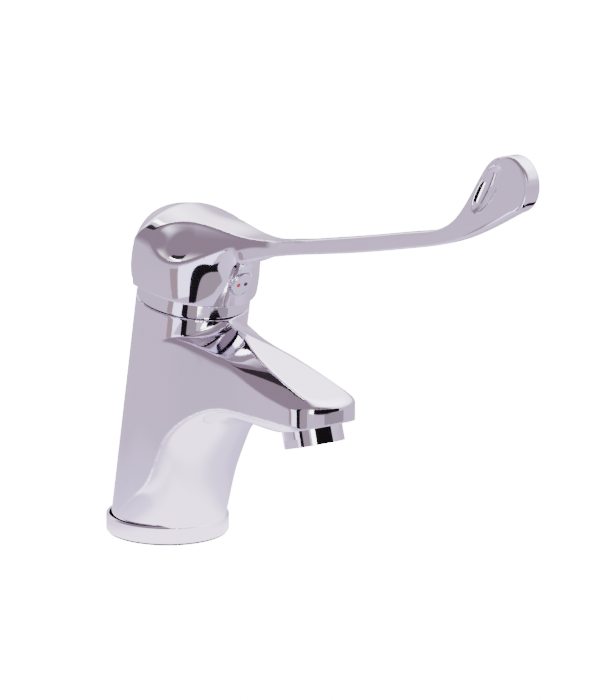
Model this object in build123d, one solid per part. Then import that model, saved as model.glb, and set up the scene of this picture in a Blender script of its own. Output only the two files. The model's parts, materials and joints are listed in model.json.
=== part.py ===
from build123d import *
import os
from math import cos, radians, sin, sqrt, tan

# Elbow lever tap: a single-hole basin mixer with a long elbow lever.
# Frame: +Z up, +X along the spout and the lever, origin at the centre of
# the underside, on the basin deck. Lengths in millimetres, angles in degrees.

os.makedirs("parts", exist_ok=True)

# Cuts run this far past the face they leave through
overrun = 2.0
# Pieces on one body that only touch are this far apart
seat_gap = 0.05
# Pieces that turn or slide on each other are this far apart
running_gap = 0.1

# Body: a round column that leans forward, with the seam at its top
lean = 10.2
column_radius = 22.85
column_setback = 1.1
seam_height = 100.0
foot_radius = 14.8
foot_height = 1.6
spigot_radius = 22.2

# Spout: deck, flanks and sides run from the column to a round nose
nose_reach = 93.2
nose_radius = 16.1
nose_bottom_height = 62.6
outlet_tilt = 16.5
deck_drop = 5.2
side_height = 62.0
nose_band_height = 74.2
keel_depth = 7.4

# Base ring and gasket under it
ring_wall = 1.3
ring_top = 7.6
ring_clearance = 0.85
ring_floor = 1.6
ring_floor_bore = 17.5
ring_edge = 1.1
gasket_thickness = 0.9
gasket_inset = 0.7

# Inlet and stud holes in the foot, for flexible tails and the fixing stud
inlet_radius = 4.5
inlet_depth = 12.0
inlet_spacing = 16.4
inlet_setback = 4.2
stud_radius = 3.4
stud_depth = 14.0
stud_offset = 9.2
waterway_radius = 3.1
mixed_waterway_radius = 3.3

# Cartridge heights, along the leaning axis from the seam
bore_floor = -36.0
base_height = 5.8
fixed_disc_height = 4.0
moving_disc_height = 4.0
carrier_height = 6.9
flange_height = 4.3
lid_height = 1.4
neck_top = 3.2
pivot_height = -4.0
stem_top = 31.0

# Cartridge widths
shell_radius = 17.4
shell_bore_radius = 15.2
fixed_disc_radius = 13.4
moving_disc_radius = 12.3
neck_radius = 10.0
pin_radius = 2.0
pin_length = 19.0
stem_width = 7.6
stem_depth = 8.0
stem_hub_drop = 3.6
arm_radius = 2.4
arm_length = 13.0
ball_radius = 3.0
lift_range = 22.0
port_radius = 3.3
port_offset = 6.4
port_setback = 4.6
mixed_port_offset = 6.0
seal_radius = 4.5
seal_wall = 1.6
seal_height = 1.8
seal_groove_depth = 1.3

# Nut and temperature ring
nut_radius = 19.4
nut_depth = 6.7
nut_drop = 2.2
nut_hex_across = 27.0
nut_hex_height = 4.0
limit_ring_radius = 12.7
limit_ring_height = 4.4
limit_notch_count = 20
limit_notch_depth = 0.7

# Cover ring: band flush with the column, then a ball about the pivot
cover_gap = 0.25
cover_band_height = 5.6
cover_band_taper = 0.6
cover_ball_radius = 22.5
cover_wall = 1.4
cover_top = 13.0
cover_spigot_wall = 1.9
cover_seal_wall = 0.9
cover_seal_height = 1.3
cover_seal_drop = 0.4

# Head of the lever: a dome over the cover ring
lip_height = 6.2
head_height = 38.2
head_radius = 25.7
head_setback = 1.5
dome_centre_height = 14.0
dome_half_height = 24.2
dome_start_angle = 20
dome_power_share = 2.25
front_cavity_radius = 23.3
rear_cavity_radius = 24.6
rear_cavity_reach = 2.0
boss_radius = 8.6
pocket_radius = 16.5
pocket_top = 24.5

# Lever: flat bar that rises from the head, with an upturned paddle
bar_height = 6.5
bar_width = 6.0
bar_rise = 13.2
bar_start = 83.0
bar_start_height = 132.5
root_width = 31.0
root_plan_slope = -0.4
bend_start = 163.0
bend_radius = 44.0
paddle_rise = 53.5
paddle_radius = 11.7
paddle_reach = 209.6
paddle_height = 178.7
paddle_heel_angle = 22.0
dimple_length = 20.5
dimple_width = 7.4
dimple_depth = 1.7
dimple_reach = 198.4
dimple_height = 176.4

# Hollow milled into each side of the head, measured on the leaning axis
hollow_radius = 17.3
hollow_start_reach = 11.1
hollow_start_side = 26.9
hollow_start_height = 39.1
hollow_end_reach = 46.0
hollow_end_side = 22.4
hollow_end_height = 49.0

# Front of the skirt, under the lever, with the index button
button_height = 16.6
button_reach = 29.6
button_tilt = 12.4
button_radius = 4.8
button_thickness = 1.7
button_inset = 0.4
button_plug_radius = 2.9
button_plug_length = 3.4
dot_radius = 0.85
dot_spacing = 3.5
dot_height = 0.5
dot_proud = 0.12
screw_radius = 2.5
screw_length = 10.0
screw_socket_across = 2.5
screw_socket_depth = 3.0

# Aerator in the nose
aerator_radius = 12.0
aerator_drop = 6.6
aerator_seat = 8.0
aerator_wall = 1.7
aerator_lip = 1.0
aerator_flat_across = 22.4
aerator_flat_height = 3.4
washer_thickness = 1.6
insert_height = 7.6
insert_post_count = 8
insert_post_radius = 1.0
screen_thickness = 0.4
screen_count = 2

ring_bore_radius = column_radius + ring_clearance
ring_radius = ring_bore_radius + ring_wall
gasket_radius = ring_radius - gasket_inset
deck_apex_height = seam_height - deck_drop
seam_reach = seam_height * tan(radians(lean)) - column_setback
seam = Location((seam_reach, 0, seam_height), (0, lean, 0))
outlet = Location((nose_reach, 0, nose_bottom_height), (0, 180 - outlet_tilt, 0))
button_face = -button_inset


def save(shape, name):
    shape.label = name
    export_step(shape, os.path.join("parts", name + ".step"))


def disc(radius, low, high):
    """Round bar on the Z axis from low to high."""
    return Pos(0, 0, low) * Cylinder(radius, high - low, align=(Align.CENTER, Align.CENTER, Align.MIN))


def tube(radius, bore, low, high):
    return disc(radius, low, high) - disc(bore, low - overrun, high + overrun)


def rod(radius, start, end):
    """Round bar between two points."""
    direction = Vector(*end) - Vector(*start)
    plane = Plane(origin=start, z_dir=direction)
    return plane * Cylinder(radius, direction.length, align=(Align.CENTER, Align.CENTER, Align.MIN))


def column_reach(height):
    """Where the column's leaning axis is at a height above the deck."""
    return height * tan(radians(lean)) - column_setback


# Spout sections: station as a share of the way from the column's axis to the
# nose, then half-widths as shares of the column radius and heights as shares
# of the drop from the deck's apex to the nose band
roof_shares = [
    (0.00, 0.022, -0.10, 0.875, 0.72, 1.00, 1.69),
    (0.31, 0.026, 0.00, 0.670, 0.35, 0.90, 1.59),
    (0.53, 0.184, 0.24, 0.683, 0.50, 0.83, 1.45),
    (0.73, 0.328, 0.45, 0.626, 0.60, 0.78, 1.40),
    (1.02, 0.446, 0.75, 0.565, 0.82, 0.72, 0.99),
    (1.22, 0.333, 0.95, 0.394, 0.98, 0.72, 1.02),
]


def roof_section(share):
    """One cross-section of the spout's top: deck, two flanks and two sides."""
    along, deck_w, deck_z, shoulder_w, shoulder_z, side_w, side_z = share
    start = column_reach(nose_band_height)
    drop = deck_apex_height - nose_band_height
    x = start + along * (nose_reach - start)
    half = [
        (deck_w * column_radius, deck_apex_height - deck_z * drop),
        (shoulder_w * column_radius, deck_apex_height - shoulder_z * drop),
        (side_w * column_radius, deck_apex_height - side_z * drop),
        (side_w * column_radius, 0),
    ]
    points = [(x, y, z) for y, z in half] + [(x, -y, z) for y, z in reversed(half)]
    return make_face(Polyline(*points, close=True))


def roof():
    """Everything under the spout's deck and flanks."""
    return loft([roof_section(share) for share in roof_shares], ruled=True)


def spout_plan():
    """The spout seen from above: sides that run from the column to the nose."""
    root = Pos(column_reach(nose_band_height), 0) * Circle(column_radius)
    nose = Pos(nose_reach, 0) * Circle(nose_radius)
    outline = make_hull(root.edges() + nose.edges())
    return extrude(outline, deck_apex_height + column_radius)


# Keel sections from nose to foot: share of the way along X to the nose,
# height as a share of the side's height, tilt of the section in degrees,
# half-width as a share of the column radius, depth in keel depths
keel_shares = [
    (0.88, 1.075, 90, 0.722, 1.02),
    (0.60, 1.060, 90, 0.800, 0.96),
    (0.385, 0.960, 55, 0.875, 1.28),
    (0.235, 0.770, 27, 0.918, 1.70),
    (0.110, 0.500, 5, 0.950, 2.38),
    (0.010, 0.215, 0, 0.972, 2.85),
]


# Web at the spout's root: its underside, in keel depths from the column's front
# at the side's height, and its half-width as a share of the column radius
web_shares = [(-1.70, -2.00), (-0.45, -1.00), (1.30, -0.50)]
web_width_share = 0.80


def keel_section(share):
    """Half an ellipse that bulges out under the spout and down the column."""
    along, up, tilt, width, depth = share
    origin = Vector(along * nose_reach, 0, up * side_height)
    outward = Vector(cos(radians(tilt)), 0, -sin(radians(tilt)))
    plane = Plane(origin=origin, x_dir=(0, 1, 0), z_dir=outward.cross(Vector(0, 1, 0)))
    arc = EllipticalCenterArc((0, 0), width * column_radius, depth * keel_depth, 180, arc_size=180)
    return plane * make_face([arc, Line(arc @ 1, arc @ 0)])


def keel():
    return loft([keel_section(share) for share in keel_shares])


def leaning_column():
    """Round column, cut by the seam at the top and by the foot below."""
    long_bar = seam * disc(column_radius, -seam_height - column_radius, 0)
    floor = Box(
        4 * ring_radius, 4 * ring_radius, 2 * seam_height, align=(Align.CENTER, Align.CENTER, Align.MAX)
    )
    above_ring = long_bar - Pos(0, 0, ring_top - ring_edge) * floor
    spigot = disc(spigot_radius, foot_height, ring_top)
    return above_ring + spigot + disc(foot_radius, 0, 2 * foot_height)


def below_nose():
    """Everything under the nose's slanted bottom face."""
    size = 4 * nose_radius
    block = Box(size, size, size, align=(Align.CENTER, Align.CENTER, Align.MIN))
    return outlet * block


def spout_root():
    """Web that closes the corner between the column, the keel and the spout."""
    front = column_reach(side_height) + column_radius
    low = [(front + x * keel_depth, side_height + z * keel_depth) for x, z in web_shares]
    high = side_height + overrun
    face = Plane.XZ * make_face(Polyline(*low, (low[-1][0], high), (low[0][0], high), close=True))
    return extrude(face, web_width_share * column_radius, both=True)


def body_outside():
    nose = Pos(nose_reach, 0, side_height - nose_radius) * Cylinder(
        nose_radius, deck_apex_height, align=(Align.CENTER, Align.CENTER, Align.MIN)
    )
    keep_above = Pos(nose_reach / 2, 0, side_height) * Box(
        2 * nose_reach, 2 * nose_reach, seam_height, align=(Align.CENTER, Align.CENTER, Align.MIN)
    )
    wedge = spout_plan() & roof() & keep_above
    spout = wedge + (nose & roof())
    spout = spout - below_nose()
    return leaning_column() + spout + spout_root() + (keel() - below_nose())


def port_places():
    """Hot, cold and mixed ports of the cartridge, seen along its axis."""
    return [(-port_setback, -port_offset), (-port_setback, port_offset), (mixed_port_offset, 0)]


def inlet_places():
    return [(-inlet_setback, -inlet_spacing / 2), (-inlet_setback, inlet_spacing / 2)]


def waterways():
    """Drillings from the two inlets to the cartridge, and on to the outlet."""
    cuts = []
    ports = port_places()
    for place, port in zip(inlet_places(), ports):
        start = (place[0], place[1], inlet_depth - overrun)
        end = (seam * Location((port[0], port[1], bore_floor + overrun))).position
        cuts.append(rod(waterway_radius, start, (end.X, end.Y, end.Z)))
    mixed = ports[2]
    turn = (seam * Location((mixed[0], mixed[1], bore_floor - 3 * mixed_waterway_radius))).position
    top = (seam * Location((mixed[0], mixed[1], bore_floor + overrun))).position
    seat = (outlet * Location((0, 0, -aerator_seat - mixed_waterway_radius / 3))).position
    cuts.append(rod(waterway_radius, (turn.X, turn.Y, turn.Z), (top.X, top.Y, top.Z)))
    cuts.append(rod(mixed_waterway_radius, (turn.X, turn.Y, turn.Z), (seat.X, seat.Y, seat.Z)))
    return cuts


def body_casting():
    body = body_outside()
    nut_seat = -nut_drop - nut_depth
    body -= seam * disc(shell_radius + seat_gap, bore_floor, overrun)
    body -= seam * disc(nut_radius + seat_gap, nut_seat, overrun)
    for place in inlet_places():
        body -= Pos(place[0], place[1], 0) * disc(inlet_radius, -overrun, inlet_depth)
    body -= Pos(stud_offset, 0, 0) * disc(stud_radius, -overrun, stud_depth)
    body -= outlet * disc(aerator_radius + seat_gap, -aerator_seat, overrun)
    for cut in waterways():
        body -= cut
    return body


def base_ring():
    ring = tube(ring_radius, ring_bore_radius, gasket_thickness, ring_top)
    ring = chamfer(ring.edges().group_by(Axis.Z)[-1].sort_by(SortBy.RADIUS)[-1], ring_edge / 2)
    ring = chamfer(ring.edges().group_by(Axis.Z)[-1].sort_by(SortBy.RADIUS)[0], ring_edge / 4)
    floor_radius = ring_bore_radius + overrun / 4
    return ring + tube(floor_radius, ring_floor_bore, gasket_thickness, ring_floor - seat_gap)


def base_gasket():
    return tube(gasket_radius, foot_radius + seat_gap, 0, gasket_thickness)


# Heights of the cartridge pieces, each on top of the one below
seal_top = bore_floor + seal_height
base_low = seal_top - seal_groove_depth
base_top = base_low + base_height
fixed_top = base_top + fixed_disc_height
moving_top = fixed_top + moving_disc_height
carrier_top = moving_top + carrier_height
flange_low = carrier_top + running_gap
flange_top = flange_low + flange_height
lid_low = flange_top + running_gap
shell_top = lid_low + lid_height
ball_height = pivot_height - arm_length
slide_travel = arm_length * sin(radians(lift_range))


def seal_ring():
    """Ring of square section that goes round a port."""
    outside = seal_radius + seal_wall / 2
    return tube(outside, outside - seal_wall, bore_floor, bore_floor + seal_height)


def cartridge_seals():
    """One sealing ring under each port, between the base and the bore floor."""
    return Compound([seam * Pos(x, y, 0) * seal_ring() for x, y in port_places()])


def cartridge_base():
    base = disc(shell_radius, base_low, base_top)
    for x, y in port_places():
        base -= Pos(x, y, 0) * disc(port_radius, bore_floor, fixed_top)
        base -= Pos(x, y, 0) * disc(seal_radius + seal_wall / 2 + seat_gap, bore_floor, seal_top + seat_gap)
    return seam * base


def fixed_disc():
    plate = disc(fixed_disc_radius, base_top, fixed_top)
    for x, y in port_places():
        plate -= Pos(x, y, 0) * disc(port_radius, base_low, moving_top)
    return seam * plate


def moving_disc():
    """Upper disc, set back by half its travel while the tap is shut."""
    plate = disc(moving_disc_radius, fixed_top, moving_top)
    chamber = disc(moving_disc_radius / 2, fixed_top - overrun, fixed_top + moving_disc_height / 2)
    return seam * Pos(-slide_travel / 2, 0, 0) * (plate - chamber)


def disc_carrier():
    """Sliding carrier with the socket that the stem's ball moves."""
    plate = Pos(-slide_travel / 2, 0, 0) * disc(moving_disc_radius, moving_top, carrier_top)
    socket_radius = ball_radius + 1.5 * running_gap
    socket = disc(socket_radius, ball_height - ball_radius - running_gap, carrier_top + overrun)
    return seam * (plate - socket)


def cartridge_housing():
    shell = tube(shell_radius, shell_bore_radius, base_top, shell_top)
    lid = tube(shell_radius, neck_radius + running_gap, lid_low, shell_top)
    return seam * (shell + lid)


def stem_slots():
    """Room in the rotor for the stem to tilt."""
    reach = radians(lift_range)
    upper_back = (neck_top - pivot_height) * reach + stem_depth / 2 + overrun / 4
    upper_front = stem_hub_drop * reach + stem_depth / 2 + overrun / 4
    upper_low = pivot_height - stem_hub_drop - overrun
    upper = Pos((upper_front - upper_back) / 2, 0, upper_low) * Box(
        upper_front + upper_back,
        stem_width + 2 * running_gap,
        neck_top - upper_low + overrun,
        align=(Align.CENTER, Align.CENTER, Align.MIN),
    )
    lower_front = slide_travel + ball_radius + overrun / 4
    lower_back = ball_radius + overrun / 4
    lower = Pos((lower_front - lower_back) / 2, 0, carrier_top - overrun) * Box(
        lower_front + lower_back,
        2 * ball_radius + 4 * running_gap,
        upper_low - carrier_top + 2 * overrun,
        align=(Align.CENTER, Align.CENTER, Align.MIN),
    )
    return [upper, lower]


def across_pin(radius, length):
    """Round bar along Y through the pivot."""
    return Pos(0, 0, pivot_height) * Rot(90, 0, 0) * Cylinder(radius, length)


def rotor():
    flange = disc(shell_bore_radius - running_gap, flange_low, flange_top)
    piece = flange + disc(neck_radius, flange_low, neck_top)
    for slot in stem_slots():
        piece -= slot
    return seam * (piece - across_pin(pin_radius + seat_gap, 4 * neck_radius))


def temperature_ring():
    """Notched ring on the neck that limits the hot side."""
    low = shell_top + running_gap
    ring = tube(limit_ring_radius, neck_radius + seat_gap, low, low + limit_ring_height)
    notch_side = limit_notch_depth * sqrt(2)
    notch = Rot(0, 0, 45) * Box(notch_side, notch_side, 2 * limit_ring_height)
    notch = Pos(limit_ring_radius, 0, low + limit_ring_height / 2) * notch
    for turn in range(limit_notch_count):
        ring -= Rot(0, 0, turn * 360 / limit_notch_count) * notch
    return seam * ring


def pivot_pin():
    return seam * across_pin(pin_radius, pin_length)


def stem():
    bar_low = pivot_height - stem_hub_drop
    bar = Pos(0, 0, bar_low) * Box(
        stem_depth, stem_width, stem_top - bar_low, align=(Align.CENTER, Align.CENTER, Align.MIN)
    )
    arm = disc(arm_radius, ball_height, pivot_height)
    ball = Pos(0, 0, ball_height) * Sphere(ball_radius)
    return seam * (bar + arm + ball - across_pin(pin_radius + running_gap / 2, 2 * stem_width))


def cartridge_nut():
    low = -nut_drop - nut_depth
    nut = disc(nut_radius, low, -nut_drop)
    hexagon = RegularPolygon(nut_hex_across / 2, 6, major_radius=False)
    nut += Pos(0, 0, -nut_drop) * extrude(hexagon, nut_hex_height)
    nut -= disc(neck_radius + 3 * running_gap, low - overrun, nut_hex_height + overrun)
    room = shell_top + 2 * running_gap + limit_ring_height
    return seam * (nut - disc(limit_ring_radius + running_gap, low - overrun, room))


def cover_ring():
    """Band flush with the column, then a ball about the pivot, open on top."""
    outer = disc(column_radius, cover_gap, cover_band_height)
    taper_height = cover_band_height - cover_band_taper
    outer = chamfer(outer.edges().group_by(Axis.Z)[-1], taper_height, cover_band_taper)
    ball = Pos(0, 0, pivot_height) * Sphere(cover_ball_radius)
    outer += ball & disc(column_radius, cover_gap, cover_top)
    spigot_low = -nut_drop + seat_gap
    outer += disc(nut_radius, spigot_low, cover_gap)
    inner_ball = Pos(0, 0, pivot_height) * Sphere(cover_ball_radius - cover_wall)
    outer -= inner_ball & disc(column_radius, cover_band_height - cover_wall, cover_top + overrun)
    outer -= disc(nut_radius - cover_spigot_wall, spigot_low - overrun, cover_band_height - cover_wall / 2)
    return seam * (outer - cover_seal_ring(overrun, seat_gap))


def cover_seal_ring(proud, gap):
    """Sealing ring near the top of the spigot, grown outwards and by a gap."""
    high = cover_gap - cover_seal_drop
    low = high - cover_seal_height
    return tube(nut_radius + proud, nut_radius - cover_seal_wall - gap, low - gap, high + gap)


def cover_seal():
    return seam * cover_seal_ring(0, 0)


def dome_point(turn):
    """Point on the dome's squarish profile, by angle up from its widest ring."""
    width = cos(radians(turn)) ** (2 / dome_power_share)
    rise = abs(sin(radians(turn))) ** (2 / dome_power_share)
    sign = 1 if turn > 0 else -1
    return (head_radius * width, dome_centre_height + sign * rise * dome_half_height)


def head_dome():
    """Squat egg over the cover ring, set slightly to the rear."""
    steps = range(-dome_start_angle, 90, dome_start_angle)
    edge = Spline(*[dome_point(turn) for turn in steps], (0, dome_centre_height + dome_half_height))
    middle = Line(edge @ 1, (0, (edge @ 0).Y))
    half = Plane.XZ * make_face([edge, middle, Line(middle @ 1, edge @ 0)])
    egg = revolve(half, Axis.Z) - disc(2 * head_radius, -head_height, lip_height)
    return seam * Pos(-head_setback, 0, 0) * egg


# Front of the skirt below the lever, as shares of the button's reach and
# height, measured along the leaning axis
skirt_shares = [
    (0.765, 0.373),
    (0.915, 0.640),
    (1.000, 1.000),
    (1.060, 1.350),
    (1.145, 1.660),
    (1.330, 1.950),
]

# Underside of the lever's root, where the bar runs into the head, and the
# dip of its top, as shares of the bar's start
root_top_shares = [(0.20, 1.030), (0.37, 1.018), (0.54, 1.006), (0.70, 1.002), (0.84, 1.008)]
root_low_shares = [(0.86, 0.968)]

# Half-widths of the lever seen from above, as shares of the bar's start and
# of the root's width
plan_shares = [
    (0.05, 0.560),
    (0.25, 0.440),
    (0.37, 0.310),
    (0.55, 0.222),
    (0.74, 0.178),
    (0.90, 0.134),
]


def bar_line(reach, offset):
    """Height of the bar's middle line at a reach, moved up by an offset."""
    return bar_start_height + (reach - bar_start) * tan(radians(bar_rise)) + offset


def paddle_profile():
    """Side view of the lever: root, straight bar, bend and round paddle."""
    half = bar_height / 2
    top = [(x * bar_start, z * bar_start_height) for x, z in root_top_shares]
    top.append((bar_start, bar_line(bar_start, half)))
    root_top = Spline(*top, tangents=[(1, 0), (1, tan(radians(bar_rise)))])
    bend_end_angle = radians(paddle_rise)
    start_angle = radians(bar_rise)
    bend_in = Vector(bend_start, bar_line(bend_start, half))
    centre = bend_in + Vector(-sin(start_angle), cos(start_angle)) * bend_radius
    bend_out = centre + Vector(sin(bend_end_angle), -cos(bend_end_angle)) * bend_radius
    bend_mid_angle = (start_angle + bend_end_angle) / 2
    bend_mid = centre + Vector(sin(bend_mid_angle), -cos(bend_mid_angle)) * bend_radius
    paddle = Vector(paddle_reach, paddle_height)
    crown_left = paddle + Vector(-sin(bend_end_angle), cos(bend_end_angle)) * paddle_radius
    low_angle = radians(paddle_rise - paddle_heel_angle)
    crown_right = paddle + Vector(sin(low_angle), -cos(low_angle)) * paddle_radius
    low_start = Vector(bend_start - bend_radius / 4, bar_line(bend_start - bend_radius / 4, -half))
    crown_top = paddle + Vector(cos(start_angle), sin(start_angle)) * paddle_radius
    low = [(x * bar_start, z * bar_start_height) for x, z in root_low_shares]
    edges = [
        root_top,
        Line(root_top @ 1, bend_in),
        ThreePointArc(bend_in, bend_mid, bend_out),
        Line(bend_out, crown_left),
        ThreePointArc(crown_left, crown_top, crown_right),
        TangentArc(low_start, crown_right, tangent=(cos(start_angle), sin(start_angle))),
        Line(low_start, (bar_start, bar_line(bar_start, -half))),
        Line((bar_start, bar_line(bar_start, -half)), low[0]),
    ]
    return edges, low[0], root_top @ 0


def skirt_edges(lever_low, root_high):
    """Front of the skirt up to the lever's underside, and back through the head."""
    points = []
    for x, z in skirt_shares:
        spot = (seam * Location((x * button_reach, 0, z * button_height))).position
        points.append((spot.X, spot.Z))
    front = Spline(*points, lever_low)
    inside = (seam * Location((0, 0, skirt_shares[0][1] * button_height))).position
    return [
        front,
        Line(front @ 0, (inside.X, inside.Z)),
        Line((inside.X, inside.Z), root_high),
    ]


def lever_plan():
    """The lever seen from above, wide at the head and slim along the bar."""
    half = bar_width / 2
    near = [(x * bar_start, w * root_width) for x, w in plan_shares]
    side = Spline(*near, (bar_start + bar_height, half), tangents=[(1, root_plan_slope), (1, 0)])
    far_end = paddle_reach + 2 * paddle_radius
    other = mirror(side, Plane.XZ)
    edges = [
        side,
        Line(side @ 1, (far_end, half)),
        Line((far_end, half), (far_end, -half)),
        Line((far_end, -half), other @ 1),
        other,
        Line(other @ 0, side @ 0),
    ]
    return extrude(make_face(edges), 2 * paddle_height)


def lever():
    profile, lever_low, root_high = paddle_profile()
    edges = profile + skirt_edges(lever_low, root_high)
    face = Plane.XZ * make_face(edges)
    blade = extrude(face, root_width, both=True)
    return blade & lever_plan()


def dimples():
    """Oval finger recess in each broad side of the paddle."""
    cap_radius = (dimple_width ** 2 / 4 + dimple_depth ** 2) / (2 * dimple_depth)
    sink = cap_radius - dimple_depth
    run = dimple_length - dimple_width
    trough = Rot(0, 90, 0) * Cylinder(cap_radius, run)
    for end in (-run / 2, run / 2):
        trough += Pos(end, 0, 0) * Sphere(cap_radius)
    cuts = []
    for side in (-1, 1):
        place = Pos(dimple_reach, side * (bar_width / 2 + sink), dimple_height) * Rot(0, -paddle_rise, 0)
        cuts.append(place * trough)
    return cuts


def hollows():
    """Milled hollow with a round end, from each side of the head along the bar."""
    cuts = []
    for side in (-1, 1):
        start = (hollow_start_reach, side * hollow_start_side, hollow_start_height)
        end = (hollow_end_reach, side * hollow_end_side, hollow_end_height)
        cuts.append(seam * (rod(hollow_radius, start, end) + Pos(*start) * Sphere(hollow_radius)))
    return cuts


def head_cavity():
    """Room for the cover ring: balls about the pivot, wider at the rear."""
    at_pivot = Pos(0, 0, pivot_height) * Rot(0, 0, 90)
    front = at_pivot * Sphere(front_cavity_radius)
    rear_side = Pos(rear_cavity_reach, 0, 0) * Box(
        2 * head_radius, 4 * head_radius, 4 * head_radius, align=(Align.MAX, Align.CENTER, Align.CENTER)
    )
    rear = at_pivot * Sphere(rear_cavity_radius) & rear_side
    return [seam * front, seam * rear]


def head_pocket():
    """Lightening pocket round the boss, with a web left for the screw."""
    low = pivot_height + front_cavity_radius - 2 * overrun
    pocket = tube(pocket_radius, boss_radius, low, pocket_top)
    web = Box(
        4 * pocket_radius, 2 * boss_radius, 4 * pocket_top, align=(Align.MIN, Align.CENTER, Align.CENTER)
    )
    return seam * (pocket - web)


def button_frame():
    """Frame on the skirt's front whose Z axis is the button's axis, outwards."""
    return seam * Location((button_reach, 0, button_height), (0, 90 + button_tilt, 0))


def screw_start():
    """Distance back along the button's axis to where the screw meets the stem."""
    to_face = (button_reach - stem_depth / 2) / cos(radians(button_tilt))
    return to_face - screw_radius * tan(radians(button_tilt))


def handle_casting():
    piece = head_dome() + lever()
    for cut in hollows() + dimples():
        piece -= cut
    for cut in head_cavity():
        piece -= cut
    piece -= head_pocket()
    socket = Box(
        stem_depth + 2 * seat_gap,
        stem_width + 2 * seat_gap,
        stem_top + seat_gap,
        align=(Align.CENTER, Align.CENTER, Align.MIN),
    )
    piece -= seam * socket
    front = button_frame()
    piece -= front * disc(button_radius + seat_gap, -button_thickness - button_inset, 2 * button_radius)
    piece -= front * disc(button_plug_radius + seat_gap, -screw_start() / 2, overrun)
    piece -= front * disc(screw_radius + seat_gap, -screw_start(), overrun)
    return piece


def grub_screw():
    start = -screw_start() + seat_gap
    screw = disc(screw_radius, start, start + screw_length)
    hexagon = RegularPolygon(screw_socket_across / 2, 6, major_radius=False)
    socket = Pos(0, 0, start + screw_length - screw_socket_depth) * extrude(hexagon, 2 * screw_socket_depth)
    return button_frame() * (screw - socket)


def index_button():
    """Round cap with a plug that fills the screw's hole."""
    cap = disc(button_radius, -button_thickness - button_inset + seat_gap, button_face)
    cap = chamfer(cap.edges().group_by(Axis.Z)[-1], button_inset / 2)
    plug_low = -button_thickness - button_inset - button_plug_length
    cap += disc(button_plug_radius, plug_low, -button_thickness)
    for side in (-1, 1):
        cap -= Pos(0, side * dot_spacing / 2, 0) * disc(dot_radius, button_face - dot_height, overrun)
    return button_frame() * cap


def dot(side):
    """Flat dot let into the button, standing a hair proud."""
    spot = disc(dot_radius - seat_gap / 2, button_face - dot_height, button_face + dot_proud)
    return button_frame() * Pos(0, side * dot_spacing / 2, 0) * spot


def aerator_housing():
    """Chromed sleeve with two wrench flats on its lower end."""
    sleeve = disc(aerator_radius, -aerator_seat + washer_thickness, aerator_drop)
    wide = 4 * aerator_radius
    flat = Box(wide, wide, 2 * aerator_flat_height, align=(Align.CENTER, Align.MIN, Align.CENTER))
    for turn in (0, 180):
        sleeve -= Rot(0, 0, turn) * Pos(0, aerator_flat_across / 2, aerator_drop) * flat
    sleeve -= disc(aerator_radius - aerator_wall, -aerator_seat, aerator_drop - aerator_lip)
    return outlet * (sleeve - disc(aerator_radius - 2 * aerator_wall, 0, aerator_drop + overrun))


def aerator_insert():
    """Flow straightener: a cup with a ring of posts over its mouth."""
    low = -aerator_seat + washer_thickness + seat_gap
    outside = aerator_radius - aerator_wall - seat_gap
    cup = tube(outside, outside - aerator_wall / 2, low, low + insert_height)
    cup += disc(outside, low, low + aerator_lip)
    for turn in range(insert_post_count):
        place = Rot(0, 0, turn * 360 / insert_post_count) * Pos(outside / 2, 0, 0)
        cup -= place * disc(insert_post_radius, low - overrun, low + 2 * overrun)
    return outlet * cup


def aerator_screen():
    """Thin mesh discs on the sleeve's lower lip."""
    outside = aerator_radius - aerator_wall - seat_gap
    top = aerator_drop - aerator_lip - seat_gap
    plates = []
    for layer in range(screen_count):
        high = top - 2 * layer * screen_thickness
        plates.append(outlet * disc(outside, high - screen_thickness, high))
    return Compound(plates)


def aerator_washer():
    low = -aerator_seat
    return outlet * tube(aerator_radius, aerator_radius - 2 * aerator_wall, low, low + washer_thickness)


pieces = {
    "body_casting": body_casting,
    "base_ring": base_ring,
    "base_gasket": base_gasket,
    "cartridge_seals": cartridge_seals,
    "cartridge_base": cartridge_base,
    "cartridge_housing": cartridge_housing,
    "fixed_disc": fixed_disc,
    "moving_disc": moving_disc,
    "disc_carrier": disc_carrier,
    "rotor": rotor,
    "temperature_ring": temperature_ring,
    "pivot_pin": pivot_pin,
    "stem": stem,
    "cartridge_nut": cartridge_nut,
    "cover_ring": cover_ring,
    "cover_seal": cover_seal,
    "handle_casting": handle_casting,
    "grub_screw": grub_screw,
    "index_button": index_button,
    "aerator_housing": aerator_housing,
    "aerator_insert": aerator_insert,
    "aerator_screen": aerator_screen,
    "aerator_washer": aerator_washer,
}

for name, make in pieces.items():
    save(make(), name)
save(dot(-1), "hot_dot")
save(dot(1), "cold_dot")
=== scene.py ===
# %% [markdown]
# # An elbow lever tap in polished chrome
#
# The real tap is a handful of castings, polished and chromed. Chrome shows
# nothing but its surroundings, so its looks come from two things: how
# smoothly each surface bends, and what there is around it to reflect.
#
# The frame brings the pieces at their real size. The two large castings are
# then made again here as smooth skins, the small pieces keep their CAD
# shapes, and the light is built like a studio light tent.

# %% Load the frame
import json
import math

import bpy
import numpy as np
from mathutils import Matrix, Vector


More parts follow.
